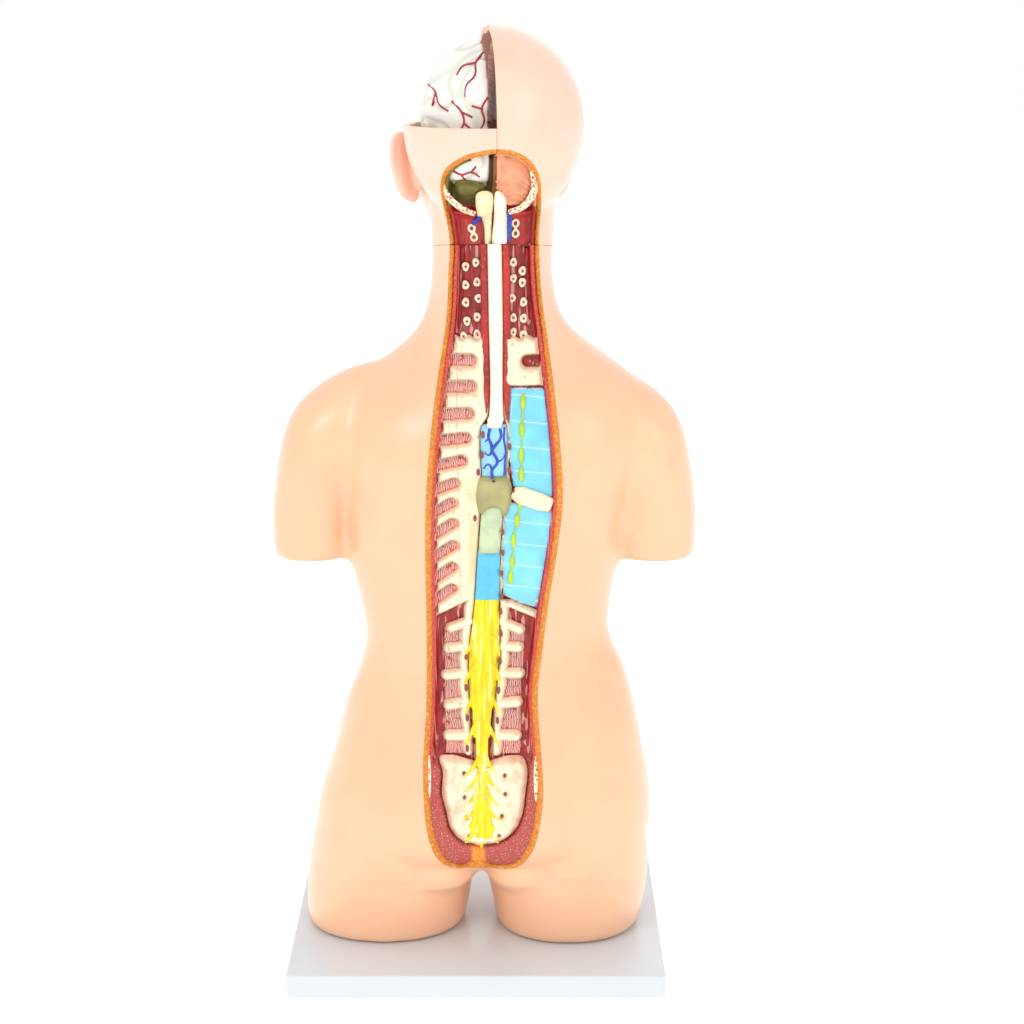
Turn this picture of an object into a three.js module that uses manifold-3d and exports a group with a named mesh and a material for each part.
// Human torso teaching model with an open back, in millimetres.
// +Z is up, the face looks towards +Y and the open back towards -Y, so +X is the figure's right hand.
// The origin is the centre of the stand board's underside.
// Skins are thin shells. The back relief, the organs and the head are separate pieces that fill them.
import * as THREE from 'three';
import { mergeVertices } from 'three/addons/utils/BufferGeometryUtils.js';
import Module from 'manifold-3d';

const wasm = await Module();
wasm.setup();

// ---------------------------------------------------------------- driving dimensions
const BOARD = { x: -4.5, width: 341, depth: 250, height: 22, corner: 5, bevel: 1.5 };
const FIGURE_TOP = 850;      // crown of the head above the table
const SKIN = 6;              // wall of the torso and head shells
const GAP = 0.35;            // running gap between neighbouring pieces
const FOOT = BOARD.height + GAP;
const LEAN = 0.02;           // the figure stands a little askew on its board
const LEAN_FROM = 110;
const NECK_SEAM = { y: -45, z: 668, slope: 0.2 };   // the neck cut falls towards the throat
const HEAD = { x: 5.5, turn: 6.5 };                 // the head looks a little to its left
const SKULL_CUT = { y: -75, z: 768, slope: 0.04 };  // where the left skull cap is missing
const FAR = 400;             // beyond the figure on every side
const TALL = 1000;

const lean = (z) => LEAN * (Math.min(z, NECK_SEAM.z) - LEAN_FROM);
const seamAt = (y) => NECK_SEAM.z - NECK_SEAM.slope * (y - NECK_SEAM.y);

// ---------------------------------------------------------------- solids and booleans
function solid(geometry) {
  const g = geometry.index ? geometry.toNonIndexed() : geometry.clone();
  g.deleteAttribute('normal');
  g.deleteAttribute('uv');
  const merged = mergeVertices(g, 1e-3);
  return new wasm.Manifold(new wasm.Mesh({
    numProp: 3,
    vertProperties: merged.attributes.position.array,
    triVerts: new Uint32Array(merged.index.array),
  }));
}

const join = (...parts) => parts.reduce((all, part) => all.add(part));
const cut = (body, ...tools) => tools.reduce((left, tool) => left.subtract(tool), body);
const common = (...parts) => parts.reduce((all, part) => all.intersect(part));

// The largest body of a solid: booleans can leave crumbs beside it.
function mainBody(body) {
  return body.decompose().sort((a, b) => b.volume() - a.volume())[0];
}

function geometryOf(body) {
  const mesh = body.getMesh();
  const position = new Float32Array(mesh.numVert * 3);
  for (let i = 0; i < mesh.numVert; i += 1) {
    position.set(mesh.vertProperties.subarray(i * mesh.numProp, i * mesh.numProp + 3), i * 3);
  }
  return new THREE.BufferGeometry()
    .setAttribute('position', new THREE.BufferAttribute(position, 3))
    .setIndex(new THREE.BufferAttribute(mesh.triVerts, 1));
}

function box(x0, x1, y0, y1, z0, z1) {
  return solid(new THREE.BoxGeometry(x1 - x0, y1 - y0, z1 - z0)
    .translate((x0 + x1) / 2, (y0 + y1) / 2, (z0 + z1) / 2));
}

function upright(radius, z0, z1, x, y, sides = 12) {
  return solid(new THREE.CylinderGeometry(radius, radius, z1 - z0, sides)
    .rotateX(Math.PI / 2).translate(x, y, (z0 + z1) / 2));
}

// An egg: a sphere stretched to three radii, with its poles on Z.
function egg(centre, radii, around = 28, rows = 18) {
  return solid(new THREE.SphereGeometry(1, around, rows).rotateX(Math.PI / 2)
    .scale(...radii).translate(...centre));
}

// A closed smooth outline through a few [x, z] points, moved outwards by an offset.
function outline(points, steps, offset = 0) {
  const curve = new THREE.CatmullRomCurve3(
    points.map(([x, z]) => new THREE.Vector3(x, z, 0)), true, 'catmullrom', 0.5);
  const turns = THREE.ShapeUtils.area(points.map(([x, z]) => new THREE.Vector2(x, z))) > 0 ? 1 : -1;
  return Array.from({ length: steps }, (_, i) => {
    const p = curve.getPoint(i / steps);
    const t = curve.getTangent(i / steps);
    return new THREE.Vector2(p.x + turns * offset * t.y, p.y - turns * offset * t.x);
  });
}

// An outline in the XZ plane, which leans with the figure, pushed through from y0 to y1.
function prism(points, y0, y1) {
  const shape = new THREE.Shape(points.map((p) => new THREE.Vector2(p.x + lean(p.y), p.y)));
  return solid(new THREE.ExtrudeGeometry(shape, { depth: y1 - y0, bevelEnabled: false })
    .rotateX(Math.PI / 2).translate(0, y1, 0));
}

// ---------------------------------------------------------------- the body's form
// Each ring: [z, half width, depth behind, depth in front, squareness, middle].
const TRUNK = [
  [78, 138, 74, 60, 2.5, 0], [110, 153, 87, 72, 2.5, 0.3], [147, 154, 93, 75, 2.45, 2.3],
  [195, 143, 86, 80, 2.4, 4.8], [242, 132, 72, 82, 2.3, 5.2], [274, 121, 64, 80, 2.2, 6],
  [305, 111, 61, 78, 2.2, 2], [340, 114, 65, 78, 2.2, -0.9], [380, 122, 74, 82, 2.3, -2],
  [430, 130, 84, 88, 2.3, 0.5], [480, 138, 88, 88, 2.3, 3.5], [515, 138, 82, 78, 2.2, 4.8],
  [544, 119.5, 69, 64, 2.1, 6.8], [562, 98.5, 58, 54, 2, 5.8], [578, 77.5, 51, 49, 2, 4.5],
  [596, 62, 47, 46, 2, 1.5], [630, 53.5, 45, 46, 2, 0], [668, 53, 46, 48, 2, 0],
  [700, 54, 50, 46, 2, 0], [736, 50, 50, 40, 2, 0],
];
const THIGH_X = 85;
const THIGH_LEFT = [
  [FOOT, 74, 63, 66, 2.2, 89], [45, 77, 68, 70, 2.2, 87.5], [80, 77, 74, 70, 2.2, THIGH_X],
  [120, 66, 70, 60, 2.2, THIGH_X],
];
const THIGH_RIGHT = [
  [FOOT, 67, 65, 66, 2.2, 82], [45, 71.5, 70, 70, 2.2, 82.3], [80, 76, 75, 70, 2.2, 80.6],
  [120, 66, 70, 60, 2.2, 83],
];
const ARM = [
  [382, 35, 38, 38, 2.6, 155], [420, 35, 42, 42, 2.5, 155.5], [460, 38, 47, 46, 2.4, 148],
  [490, 41, 48, 46, 2.4, 138.6], [512, 41, 44, 42, 2.4, 129.5], [530, 39, 36, 35, 2.3, 115.5],
  [546, 32, 27, 27, 2.2, 98.5], [556, 20, 16, 16, 2.0, 86],
];
const ARMS_SHIFT = 3.2;      // both arms sit a little to the right of the board's middle

// A stack of rings made from a cylinder whose rings are pulled to the listed sizes.
function rings(list, { rows, around, inset = 0, side = 1, shift = lean, zInset = inset }) {
  const width = list[0].length - 1;
  const spline = new THREE.CubicInterpolant(
    list.map((ring) => ring[0]), list.flatMap((ring) => ring.slice(1)), width);
  const low = list[0][0] + zInset;
  const high = list[list.length - 1][0] - zInset;
  const geometry = new THREE.CylinderGeometry(1, 1, 1, around, rows).rotateX(Math.PI / 2);
  const position = geometry.attributes.position;
  for (let i = 0; i < position.count; i += 1) {
    const z = THREE.MathUtils.lerp(low, high, position.getZ(i) + 0.5);
    const [half, behind, ahead, square, middle] = spline.evaluate(z);
    const reach = Math.min(1, Math.hypot(position.getX(i), position.getY(i)));
    const angle = Math.atan2(position.getY(i), position.getX(i));
    const bend = (v) => Math.sign(v) * Math.abs(v) ** (2 / square);
    const depth = (Math.sin(angle) < 0 ? behind : ahead) - inset;
    position.setXYZ(i,
      side * middle + reach * (half - inset) * bend(Math.cos(angle)) + shift(z),
      reach * depth * bend(Math.sin(angle)), z);
  }
  return solid(geometry);
}

const trunk = (inset = 0) => rings(TRUNK, inset
  ? { rows: 14, around: 28, inset, zInset: 8 } : { rows: 17, around: 36 });
const limbs = (inset = 0) => [-1, 1].flatMap((side) => [
  rings(ARM, { rows: 5, around: 16, inset, side, shift: () => ARMS_SHIFT }),
  rings(side < 0 ? THIGH_LEFT : THIGH_RIGHT, { rows: 3, around: 20, inset, side }),
]);

// Everything below the neck cut, or above it, with the cut kept at a distance.
function seamSide(below, distance = GAP / 2) {
  const shift = below ? -distance : distance;
  const [near, away] = below ? [-FAR, 0] : [0, FAR];
  const shape = new THREE.Shape([
    [-FAR, near - FAR * below], [FAR, near - FAR * below], [FAR, away], [-FAR, away],
  ].map(([y, z]) => new THREE.Vector2(y, z === 0 ? seamAt(y) + shift : seamAt(y) + z)));
  return solid(new THREE.ExtrudeGeometry(shape, { depth: 2 * FAR, bevelEnabled: false })
    .rotateX(Math.PI / 2).rotateZ(Math.PI / 2).translate(-FAR, 0, 0));
}

// ---------------------------------------------------------------- the windows, seen square on
const BACK_WINDOW = [
  [-3, 112], [8, 105.5], [20, 103.5], [34, 109], [45, 127], [51, 150], [54, 185], [50, 232], [47.5, 266],
  [51, 308], [55, 352], [61, 402], [64.5, 450], [62, 492], [56, 540], [49, 584], [43, 622], [40, 665],
  [41.5, 700], [40.5, 724], [33, 741], [19, 750], [4, 752], [-10, 750], [-24, 745.5], [-38, 735],
  [-43, 720], [-41, 698], [-36.5, 668], [-37, 638], [-38.5, 600], [-45, 550], [-50, 500], [-53, 440],
  [-52.5, 360], [-51.5, 300], [-51.5, 250], [-53, 205], [-50, 158], [-42, 126], [-30, 109], [-16, 104.5],
];
const FRONT_WINDOW = [
  [0, 602], [26, 596], [48, 578], [66, 548], [78, 505], [82, 460], [80, 410], [74, 360], [71, 310],
  [73, 262], [68, 212], [52, 168], [28, 138], [0, 128], [-28, 138], [-52, 168], [-68, 212], [-73, 262],
  [-71, 310], [-74, 360], [-80, 410], [-82, 460], [-78, 505], [-66, 548], [-48, 578], [-26, 596],
];
const BACK_STEPS = 60;
const FRONT_STEPS = 40;
const backOpening = (offset) => prism(outline(BACK_WINDOW, BACK_STEPS, offset), -FAR, -12);
const frontOpening = (offset, from = 20) => prism(outline(FRONT_WINDOW, FRONT_STEPS, offset), from, FAR);

// ---------------------------------------------------------------- materials
const finish = (color, roughness = 0.4, metalness = 0) => ({ color, roughness, metalness });
const FINISHES = {
  board: finish('#f1f2f2', 0.35), skin: finish('#f4c3a0', 0.35), muscle: finish('#b8352c', 0.5),
  bone: finish('#f0e6cf', 0.5), cord: finish('#f6f1df', 0.4), plexus: finish('#cfe8f2', 0.4),
  dura: finish('#c9c79a', 0.5), arachnoid: finish('#d6e6c6', 0.45), pia: finish('#8fd6ea', 0.35),
  nerve: finish('#f5e21c', 0.4), pleura: finish('#9fdcef', 0.3), ganglion: finish('#c3df1e', 0.4),
  brain: finish('#e9e7de', 0.4), skullbone: finish('#8d8449', 0.6), lung: finish('#d98a84', 0.45),
  heart: finish('#a8352f', 0.4), liver: finish('#7a3524', 0.35), stomach: finish('#dca08c', 0.4),
  gut: finish('#d98d7c', 0.4), colon: finish('#c9876f', 0.4), vessel: finish('#c22d2d', 0.4),
  kidney: finish('#8e3a2c', 0.4), bladder: finish('#e2bd7d', 0.4), steel: finish('#b9bdc0', 0.3, 1),
  block: finish('#c9a878', 0.7),
};

const model = new THREE.Group();
function add(name, body, look) {
  const { color, roughness, metalness } = FINISHES[look];
  const mesh = new THREE.Mesh(geometryOf(mainBody(body)),
    new THREE.MeshStandardMaterial({ color, roughness, metalness }));
  mesh.name = name;
  model.add(mesh);
}

// ---------------------------------------------------------------- stand board and its screws
const SCREW = { x: 28, y: 14, head: 5, shank: 2.3, hole: 2.7, bore: 6.2, sink: 8, top: 38 };
const screwPlaces = [-1, 1].flatMap((side) => [-1, 1].map((row) => (
  { side, row, x: side * THIGH_X + lean(FOOT) + row * SCREW.x, y: row * SCREW.y })));

function standBoard() {
  const { x: middle, width, depth, height, corner, bevel } = BOARD;
  const shape = new THREE.Shape();
  const [w, d, r] = [width / 2 - bevel, depth / 2 - bevel, corner - bevel];
  shape.moveTo(-w + r, -d).lineTo(w - r, -d).absarc(w - r, -d + r, r, -Math.PI / 2, 0)
    .lineTo(w, d - r).absarc(w - r, d - r, r, 0, Math.PI / 2)
    .lineTo(-w + r, d).absarc(-w + r, d - r, r, Math.PI / 2, Math.PI)
    .lineTo(-w, -d + r).absarc(-w + r, -d + r, r, Math.PI, 1.5 * Math.PI);
  const board = solid(new THREE.ExtrudeGeometry(shape, {
    depth: height - 2 * bevel, bevelThickness: bevel, bevelSize: bevel, bevelSegments: 1, curveSegments: 3,
  }).translate(middle, 0, bevel));
  return cut(board, ...screwPlaces.flatMap(({ x, y }) => [
    upright(SCREW.hole, -1, height + 1, x, y), upright(SCREW.bore, -1, SCREW.sink, x, y)]));
}

function boardScrew({ x, y }) {
  const { head, shank, sink, top } = SCREW;
  const seat = sink - GAP;
  const profile = [[0, seat - 3], [head - 1, seat - 3], [head, seat - 2], [head, seat],
    [shank, seat], [shank, top - 2], [0, top]].map(([r, z]) => new THREE.Vector2(r, z));
  return solid(new THREE.LatheGeometry(profile, 12).rotateX(Math.PI / 2).translate(x, y, 0));
}

function screwBlock(side) {
  const z0 = FOOT + SKIN + GAP;
  const middle = side * THIGH_X + lean(FOOT);
  const block = box(middle - 38, middle + 38, -24, 24, z0, z0 + 16);
  return cut(block, ...screwPlaces.filter((place) => place.side === side)
    .map(({ x, y }) => upright(SCREW.hole, z0 - 1, SCREW.top + 2, x, y)));
}

add('base_board', standBoard(), 'board');
screwPlaces.forEach((place) => {
  const name = `board_screw_${place.side < 0 ? 'left' : 'right'}_${place.row < 0 ? 'rear' : 'front'}`;
  add(name, boardScrew(place), 'steel');
});
[-1, 1].forEach((side) => add(`screw_block_${side < 0 ? 'left' : 'right'}`, screwBlock(side), 'block'));

// ---------------------------------------------------------------- torso shell
const body = join(trunk(), ...limbs());
const under = { skin: trunk(SKIN), flange: trunk(SKIN + GAP) };
const torsoHollow = common(join(under.skin, ...limbs(SKIN)), seamSide(1, SKIN));
const torsoShell = cut(common(body, seamSide(1)), torsoHollow, backOpening(0), frontOpening(0),
  common(backOpening(4 + GAP), under.skin),
  ...screwPlaces.map(({ x, y }) => upright(SCREW.hole, 0, 60, x, y)));
add('torso_shell', torsoShell, 'skin');

// ---------------------------------------------------------------- back relief
// Depths below the skin's outer surface: the relief lies in a dish behind the back window.
const DEPTH = { floor: 17, dish: 22, bone: 9, canal: 13, rim: 7, hip: 10 };
const trunkAt = new Map();
function inner(depth) {
  if (!trunkAt.has(depth)) trunkAt.set(depth, trunk(depth));
  return trunkAt.get(depth);
}

// A piece of relief: an outline pushed through the layer between two depths.
function relief(points, top, bottom, steps = points.length * 3) {
  const area = Array.isArray(points[0]) ? outline(points, steps) : points;
  return common(cut(common(prism(area, -FAR, -12), inner(top)), inner(bottom)), seamSide(1, 1));
}

const straight = (points) => points.map(([x, z]) => new THREE.Vector2(x, z));
const canal = new THREE.SplineCurve(
  [[110, 0], [200, -0.5], [290, -1], [380, 1.5], [450, 5], [530, 6.5], [600, 4], [670, 2]]
    .map(([z, x]) => new THREE.Vector2(x, z)));
function canalX(z) {
  const points = canal.points;
  let i = 0;
  while (i < points.length - 2 && z > points[i + 1].y) i += 1;
  return THREE.MathUtils.mapLinear(z, points[i].y, points[i + 1].y, points[i].x, points[i + 1].x);
}

// A strip that follows the canal, between two heights, with a half width at each end.
function strip(z0, z1, half0, half1 = half0, steps = 6) {
  const edge = (side) => Array.from({ length: steps + 1 }, (_, i) => {
    const z = THREE.MathUtils.lerp(z0, z1, i / steps);
    return new THREE.Vector2(canalX(z) + side * THREE.MathUtils.lerp(half0, half1, i / steps), z);
  });
  return [...edge(1), ...edge(-1).reverse()];
}

// The cut edge of a hip bone, a sliver on the rim of the bed.
const HIP_SIDES = [-1, 1];
function hipEdge(side, grow) {
  const middle = side < 0 ? -46.5 : 48.5;
  const half = (width) => width + grow;
  return straight([[middle - half(1.6), 205], [middle - half(1.4), 178], [middle, 173 - grow],
    [middle + half(1.4), 178], [middle + half(1.6), 205], [middle, 215 + grow]]);
}

const dish = cut(
  common(backOpening(4), under.flange, seamSide(1, GAP)),
  inner(DEPTH.dish),
  cut(backOpening(-DEPTH.rim), inner(DEPTH.floor)),
  ...HIP_SIDES.map((side) => relief(hipEdge(side, GAP), 0, DEPTH.hip + GAP)),
);
add('back_muscle_bed', dish, 'muscle');

// Ribs and transverse processes: [z at the spine, slope, length, half height].
const RIBS_LEFT = [
  [577, 0, 22, 6], [556, 0, 26, 6], [535, 0, 27, 6], [514, 0.02, 29, 6], [494, 0.1, 29, 6],
  [475, 0.2, 28, 6], [456, 0.35, 26, 5.6], [438, 0.5, 24, 5.6], [418, 0.5, 24, 5.6], [397, 0.5, 24, 5.6],
  [377, 0.5, 24, 5.6], [358, 0.5, 24, 5.6], [334, 0.3, 17, 6.5], [309, 0.1, 19, 6.5], [284, 0.1, 18, 6.5],
  [259, 0.1, 17, 6.5], [231, 0.05, 18, 6.5],
];
const RIBS_RIGHT = [
  [577, 0, 24, 6], [556, 0, 26, 6], [457, -0.35, 30, 6], [352, -0.5, 24, 5], [333, -0.35, 18, 6],
  [309, -0.05, 18, 6], [284, 0, 18, 6], [258, 0.05, 18, 6], [230, 0, 18, 6],
];
const LAMINA = 14;   // half width of the bone on each side of the canal

function ribBar(side, [z, slope, length, half], from = LAMINA - 3) {
  const x0 = canalX(z) + side * from;
  const x1 = canalX(z) + side * (LAMINA + length);
  const fall = -Math.abs((x1 - x0) * slope);
  return straight([[x0, z - half], [x1, z + fall - half], [x1 + side * 3, z + fall],
    [x1, z + fall + half], [x0, z + half]]);
}

function vertebralColumn() {
  const channel = relief(strip(150, 668, 8.2, 8.2, 8), DEPTH.bone - 4, DEPTH.canal);
  const spine = relief(strip(218, 590, LAMINA, LAMINA, 8), DEPTH.bone, DEPTH.floor - GAP);
  const bars = [
    ...RIBS_LEFT.map((rib) => ribBar(-1, rib)),
    ...RIBS_RIGHT.filter((rib) => rib[0] < 400 || rib[0] > 500).map((rib) => ribBar(1, rib)),
  ].map((area) => relief(area, DEPTH.bone, DEPTH.floor - GAP));
  return cut(common(join(spine, ...bars), backOpening(-DEPTH.rim - GAP)), channel);
}
add('vertebral_column', vertebralColumn(), 'bone');

const sacrumArea = [[0, 214], [22, 215], [37, 208], [37, 182], [31, 160], [17, 137], [0, 132],
  [-17, 137], [-31, 160], [-38, 182], [-38, 208], [-22, 215]];
add('sacrum', cut(relief(sacrumArea, DEPTH.bone, DEPTH.floor - GAP),
  relief(strip(100, 230, 8.2, 8.2, 4), 0, DEPTH.canal)), 'bone');

// What lies in the canal, from the neck down.
const CANAL = [
  ['spinal_cord', 519, 664, 5.8, 5.8, 'cord'], ['venous_plexus_section', 473.5, 518.5, 7.6, 7.6, 'plexus'],
  ['arachnoid_section', 400, 445, 7.4, 7.4, 'arachnoid'], ['pia_section', 355, 399.4, 7.6, 7.8, 'pia'],
  ['cauda_equina', 152, 354.4, 7.8, 7.4, 'nerve'],
];
CANAL.forEach(([name, z0, z1, half0, half1, look]) => {
  add(name, relief(strip(z0, z1, half0, half1), DEPTH.bone + 0.5, DEPTH.canal - GAP), look);
});
add('vertebra_seat', relief(strip(446, 472.8, 7.2, 7.2, 2), DEPTH.bone - 1, DEPTH.canal - GAP), 'dura');

// The roots of the cauda equina spread over the lower sacrum.
add('sacral_nerve_fan', relief(straight([[-7, 151], [-14, 136], [0, 120], [14, 136], [7, 151]]),
  DEPTH.bone - 2, DEPTH.bone - GAP), 'nerve');

// Blue pleura on the right, in two panels with a bare rib between them.
function pleuraPanel(corners) {
  return common(relief(straight(corners), DEPTH.bone + 2, DEPTH.floor - GAP),
    backOpening(-DEPTH.rim - GAP));
}
const rightEdge = LAMINA + GAP * 2;
add('pleura_panel_upper', pleuraPanel([[canalX(546) + rightEdge, 546], [70, 545], [70, 456],
  [canalX(465) + rightEdge, 468.5], [canalX(500) + rightEdge, 500]]), 'pleura');
add('pleura_panel_lower', pleuraPanel([[canalX(440) + rightEdge, 446], [70, 432], [70, 341],
  [canalX(362) + rightEdge, 361.5], [canalX(400) + rightEdge, 400]]), 'pleura');
add('bare_rib_right', common(relief(ribBar(1, [458, -0.38, 40, 5.6], LAMINA + GAP * 2),
  DEPTH.bone, DEPTH.floor - GAP), backOpening(-DEPTH.rim - GAP)), 'bone');

// A chain of ganglia lies on each pleura panel.
function ganglionChain(z0, z1, x0, x1) {
  const steps = 12;
  const edge = (side) => Array.from({ length: steps + 1 }, (_, i) => {
    const swell = 1.3 + 1.6 * Math.abs(Math.sin((i / steps) * Math.PI * 3));
    const z = THREE.MathUtils.lerp(z0, z1, i / steps);
    return [THREE.MathUtils.lerp(x0, x1, i / steps) + side * swell, z];
  });
  return relief(straight([...edge(1), ...edge(-1).reverse()]), DEPTH.bone, DEPTH.bone + 2 - GAP);
}
add('ganglion_chain_upper', ganglionChain(473, 543, 28.4, 29), 'ganglion');
add('ganglion_chain_lower', ganglionChain(368, 438, 21.8, 27), 'ganglion');

// Cut edges of the hip bones, let into the rim of the bed.
HIP_SIDES.forEach((side) => {
  add(`hip_bone_section_${side < 0 ? 'left' : 'right'}`, relief(hipEdge(side, 0), 4, DEPTH.hip), 'bone');
});

// ---------------------------------------------------------------- front cavity and its organs
const TUB = { floor: -8, wall: 3, rim: 8, abdomen: 12 };

add('cavity_tub', cut(
  common(prism(outline(FRONT_WINDOW, FRONT_STEPS, 4), TUB.floor - TUB.wall, FAR), under.flange),
  prism(outline(FRONT_WINDOW, FRONT_STEPS, -TUB.rim), TUB.floor, FAR),
), 'muscle');

// An organ: its front outline pushed forward from the plane it lies on up to the body's own curve.
function organ(points, from, top = 12, steps = points.length * 2) {
  return common(prism(outline(points, steps), from, FAR), inner(top));
}
const REAR = TUB.floor + GAP;
const FRONT = TUB.abdomen + GAP;
const ORGANS = [
  ['lung_right', 'lung', REAR, 12, [[26, 580], [42, 568], [58, 538], [69, 495], [72, 450], [70, 412],
    [56, 404], [34, 408], [14, 413], [14, 440], [15, 490], [14, 540], [16, 568]]],
  ['lung_left', 'lung', REAR, 12, [[-26, 580], [-16, 568], [-14, 540], [-15, 512], [-24, 498],
    [-38, 482], [-44, 452], [-40, 425], [-34, 408], [-56, 404], [-70, 412], [-72, 450], [-69, 495],
    [-58, 538], [-42, 568]]],
  ['heart', 'heart', 0, 14, [[-8, 497], [6, 490], [12, 470], [11, 440], [0, 420], [-18, 413], [-34, 418],
    [-41, 436], [-40, 462], [-28, 484]]],
  ['windpipe_and_aorta', 'vessel', REAR, 30, [[0, 585], [8, 580], [11, 555], [11, 520], [9, 504], [-6, 503],
    [-11, 520], [-11, 555], [-8, 580]]],
  ['liver', 'liver', FRONT, 13, [[-30, 389], [0, 395], [36, 396], [58, 388], [64, 362], [58, 332],
    [44, 318], [26, 330], [6, 350], [-14, 368], [-30, 376]]],
  ['stomach', 'stomach', FRONT, 15, [[-36, 386], [-50, 387], [-62, 372], [-63, 345], [-54, 322], [-34, 310],
    [-10, 309], [12, 313], [22, 321], [14, 334], [-2, 346], [-16, 360], [-30, 368]]],
  ['small_intestine', 'gut', FRONT, 15, [[0, 274], [24, 272], [38, 260], [42, 234], [40, 205], [32, 184],
    [14, 172], [-14, 172], [-32, 184], [-40, 205], [-42, 234], [-38, 260], [-24, 272]]],
];
ORGANS.forEach(([name, look, from, top, points]) => add(name, organ(points, from, top), look));

// The large bowel frames the small one on three sides.
const COLON = straight([[58, 218], [62, 250], [61.5, 285], [58, 302], [30, 306], [0, 302], [-30, 302],
  [-56, 305], [-61.5, 285], [-62, 250], [-58, 218], [-48, 195], [-33, 175], [-20, 167], [-33, 180],
  [-42.5, 200], [-45, 235], [-41, 264], [-26, 276], [0, 278], [26, 276], [41, 264], [45, 235],
  [43, 206], [47, 196], [54, 202]]);
add('large_intestine', common(prism(COLON, FRONT, FAR), inner(13)), 'colon');
const BLADDER = [[0, 166], [14, 162], [20, 152], [14, 142], [0, 139], [-14, 142], [-20, 152], [-14, 162]];
add('bladder', organ(BLADDER, FRONT, 16), 'bladder');

// Glued to the back of the tub, behind the organs that lift out.
const DIAPHRAGM = straight([[68, 398], [68, 402.5], [56, 400], [30, 403], [0, 408], [-30, 403], [-56, 400],
  [-68, 402.5], [-68, 398], [-56, 395], [-34, 396], [0, 403], [34, 399], [56, 395]]);
add('diaphragm', common(prism(DIAPHRAGM, REAR, FAR), inner(22)), 'muscle');
function lump(points, front) {
  return prism(outline(points, points.length * 2), REAR, front);
}
add('kidney_right', lump([[34, 330], [46, 326], [50, 306], [46, 284], [34, 280], [27, 292], [31, 306],
  [27, 320]], TUB.abdomen - GAP), 'kidney');
add('kidney_left', lump([[-34, 338], [-27, 328], [-31, 314], [-27, 300], [-34, 288], [-46, 292], [-50, 314],
  [-46, 334]], TUB.abdomen - GAP), 'kidney');
add('aorta_and_vena_cava', lump([[-9, 392], [9, 392], [11, 320], [12, 255], [22, 205], [10, 205], [0, 232],
  [-10, 205], [-22, 205], [-12, 255], [-11, 320]], TUB.abdomen - 4), 'vessel');

// ---------------------------------------------------------------- head
const turned = (part) => part.rotate([0, 0, HEAD.turn]).translate([HEAD.x, 0, 0]);
const SKULL = { centre: [4.5, -22, FIGURE_TOP - 85], radii: [78, 70, 85] };
const BROW = { centre: [2, 10, 766], radii: [68, 72, 80] };
const FACE = { centre: [0, 32, 717], radii: [56, 53, 70] };
const EAR = { x: 66.5, shift: -2.5, y: 12, z: 728, radii: [7, 18, 29], flare: 38, tilt: 8 };
const NOSE = { centre: [0, 84, 712], radii: [10, 15, 18] };
const less = (radii, inset) => radii.map((r) => r - inset);

function headForm(inset = 0) {
  const [around, rows] = inset ? [20, 12] : [26, 16];
  const eggs = [SKULL, BROW, FACE]
    .map(({ centre, radii }) => egg(centre, less(radii, inset), around, rows));
  const nape = common(trunk(inset), box(-FAR, FAR, -FAR, FAR, 600, TALL));
  return join(turned(join(...eggs)), nape);
}

function features() {
  const nose = egg(NOSE.centre, NOSE.radii, 12, 8);
  const ears = [-1, 1].map((side) => egg([0, 0, 0], EAR.radii, 14, 10)
    .rotate([0, side * EAR.tilt, side * EAR.flare]).translate([side * EAR.x + EAR.shift, EAR.y, EAR.z]));
  return turned(join(nose, ...ears));
}

const halfSpace = (side, distance) => turned(side < 0
  ? box(-FAR, -distance, -FAR, FAR, 0, TALL) : box(distance, FAR, -FAR, FAR, 0, TALL));
const headHollow = headForm(SKIN);
const headSkin = common(join(headForm(), features()), seamSide(0));
const capPlane = new THREE.Shape([[-FAR, 0], [FAR, 0], [FAR, FAR], [-FAR, FAR]].map(([y, z]) => (
  new THREE.Vector2(y, SKULL_CUT.z - SKULL_CUT.slope * (y - SKULL_CUT.y) + z))));
const skullCap = solid(new THREE.ExtrudeGeometry(capPlane, { depth: 2 * FAR, bevelEnabled: false })
  .rotateX(Math.PI / 2).rotateZ(Math.PI / 2).translate(-FAR, 0, 0));

const NECK_FLOOR = 5;
const headShell = cut(headSkin, common(headHollow, seamSide(0, NECK_FLOOR)), backOpening(0));
add('head_shell_left', cut(common(headShell, halfSpace(-1, GAP / 2)), skullCap), 'skin');
add('head_shell_right', common(headShell, halfSpace(1, GAP / 2)), 'skin');

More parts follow.
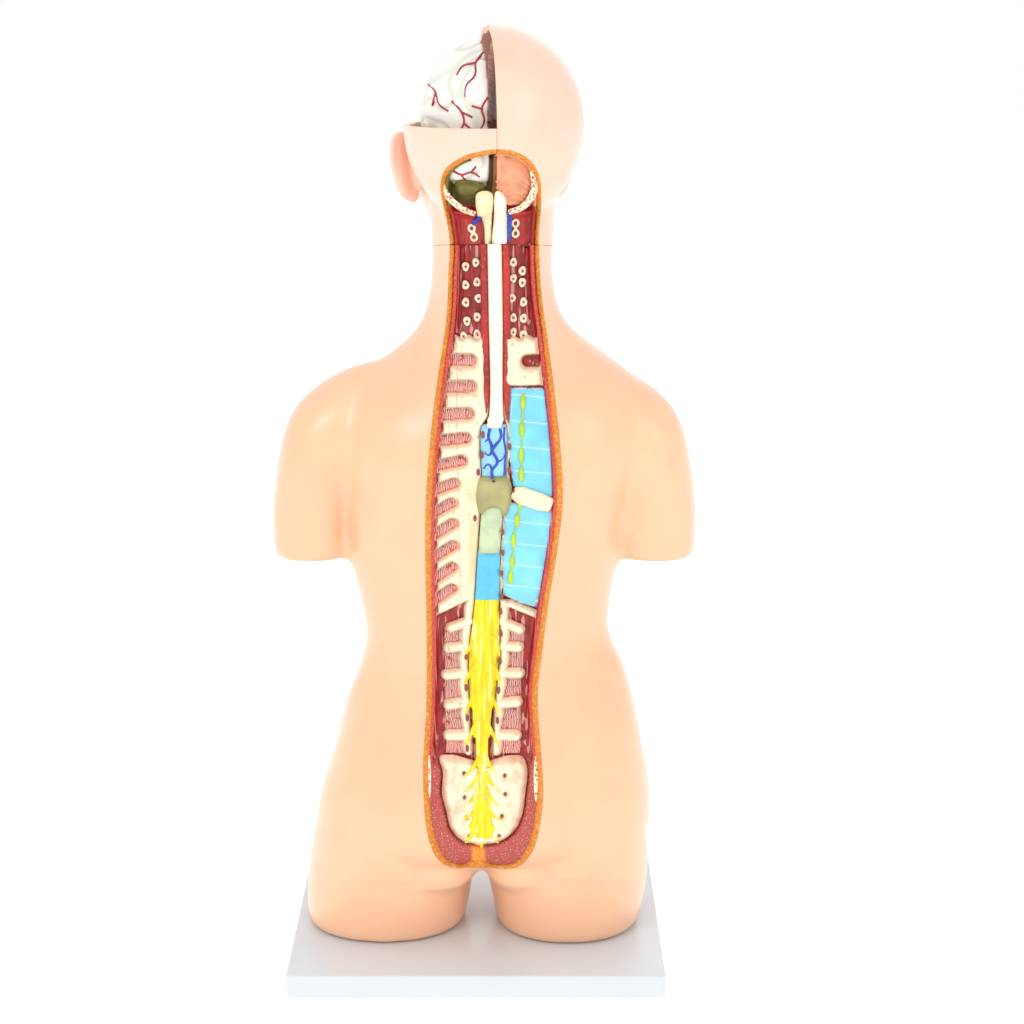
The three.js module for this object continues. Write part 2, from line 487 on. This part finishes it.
// The nape relief: neck muscle and the cut edge of the skull around the occipital opening.
const headForms = new Map();
function headInner(depth) {
  if (!headForms.has(depth)) headForms.set(depth, headForm(depth));
  return headForms.get(depth);
}
const NAPE = { rim: 3, cord: 10, dish: 14, back: 20 };
const SKULL_HOLE = [[4, 744], [22, 741], [33, 730], [34, 712], [24, 698], [8, 692], [-8, 692], [-26, 699],
  [-36, 713], [-35, 728], [-22, 740]];
const skullHole = prism(outline(SKULL_HOLE, 22), -FAR, -12);
const napeRoom = (side) => common(
  headInner(SKIN + GAP), seamSide(0, NECK_FLOOR + GAP), halfSpace(side, GAP / 2));
[-1, 1].forEach((side) => {
  const name = side < 0 ? 'left' : 'right';
  const band = cut(common(backOpening(4), napeRoom(side)), headInner(NAPE.back),
    cut(backOpening(-NAPE.rim), headInner(NAPE.dish)), skullHole);
  add(`nape_relief_${name}`, side < 0 ? cut(band, skullCap) : band, 'muscle');
  const strap = prism(strip(664, 692, 6, 6), -FAR, -12);
  const stem = cut(headInner(NAPE.cord), headInner(NAPE.dish - GAP));
  add(`medulla_${name}`, common(strap, napeRoom(side), stem), 'cord');
});

// Inside the halves: closing panels on the middle plane and the floor of the left brain case.
const panelPlate = (side) => cut(
  common(headInner(SKIN + GAP), seamSide(0, NECK_FLOOR + GAP), halfSpace(side, 8)), halfSpace(side, 11));
const napeKeep = prism(outline(BACK_WINDOW, BACK_STEPS, 5), -FAR, -11);
add('mid_section_panel_right', cut(panelPlate(1), napeKeep), 'brain');
const CASE_FLOOR = { low: 690, high: 695 };
add('mid_section_panel_left', cut(common(panelPlate(-1),
  box(-FAR, FAR, -FAR, FAR, 0, CASE_FLOOR.low - GAP)), napeKeep), 'brain');
add('brain_case_floor', cut(common(headInner(SKIN + GAP), halfSpace(-1, GAP),
  box(-FAR, FAR, -FAR, FAR, CASE_FLOOR.low, CASE_FLOOR.high)), napeKeep), 'skullbone');

const BRAIN = { centre: [0, 0, 770], radii: [57, 70, 66], base: CASE_FLOOR.high, tent: 722 };
const CEREBELLUM = { y: -36, z: 716, radii: [27, 27, 24] };
const clearOfNape = cut(backOpening(5), headInner(NAPE.back + GAP));
const underTent = box(-FAR, FAR, -FAR, -8, 0, BRAIN.tent + GAP);
add('brain_left', cut(common(turned(egg(BRAIN.centre, BRAIN.radii, 24, 16)), halfSpace(-1, 2.5),
  box(-FAR, FAR, -FAR, FAR, BRAIN.base + GAP, TALL)), underTent, clearOfNape), 'brain');
function cerebellum(side, from, top) {
  const lobe = turned(egg([side * 22, CEREBELLUM.y, CEREBELLUM.z], CEREBELLUM.radii, 18, 12));
  return common(lobe, halfSpace(side, from), headInner(NAPE.back + GAP),
    box(-FAR, FAR, -FAR, FAR, CASE_FLOOR.high + GAP, top));
}
add('cerebellum_left', cerebellum(-1, 2.5, BRAIN.tent), 'brain');
add('cerebellum_right', cerebellum(1, 12, TALL), 'skin');

export default model;
